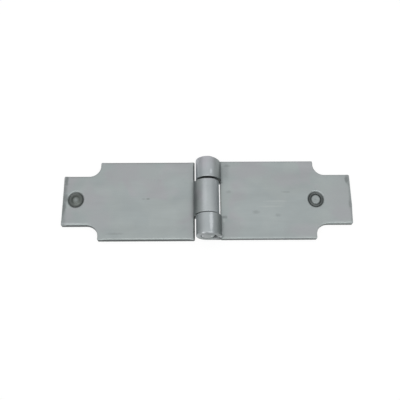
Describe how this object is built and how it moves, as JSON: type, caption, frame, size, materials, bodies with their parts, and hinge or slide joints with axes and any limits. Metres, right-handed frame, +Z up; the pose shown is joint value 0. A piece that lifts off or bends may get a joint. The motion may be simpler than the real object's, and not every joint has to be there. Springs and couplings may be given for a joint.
{
  "type": "weld-on hinge",
  "caption": "Flat steel weld-on hinge lying open: rectangular leaves with notched necks, ring-shaped pressed marks near the ends and rolled knuckles on a plain pin.",
  "frame": {"origin": "on the floor under the middle of the pin, at the centre of the hinge's footprint", "axes": "+X across the opened hinge towards the leaf with the outer knuckles, +Y along the pin, +Z up out of the face that carries the pressed marks"},
  "size_m": [0.175, 0.051, 0.014],
  "materials": {
    "right_leaf_steel": "bare rolled sheet, satin",
    "left_leaf_steel": "bare rolled sheet, satin",
    "pin_steel": "bare drawn bar, satin"
  },
  "bodies": {
    "fixed_leaf": {"right_leaf": "right_leaf_steel", "pin": "pin_steel"},
    "swing_leaf": {"left_leaf": "left_leaf_steel"}
  },
  "joints": [
    {"name": "leaf_swing", "type": "hinge", "parent": "fixed_leaf", "child": "swing_leaf", "pos_m": [0, 0, 0.007], "axis": [0, 1, 0], "range_deg": [-95, 184]}
  ]
}
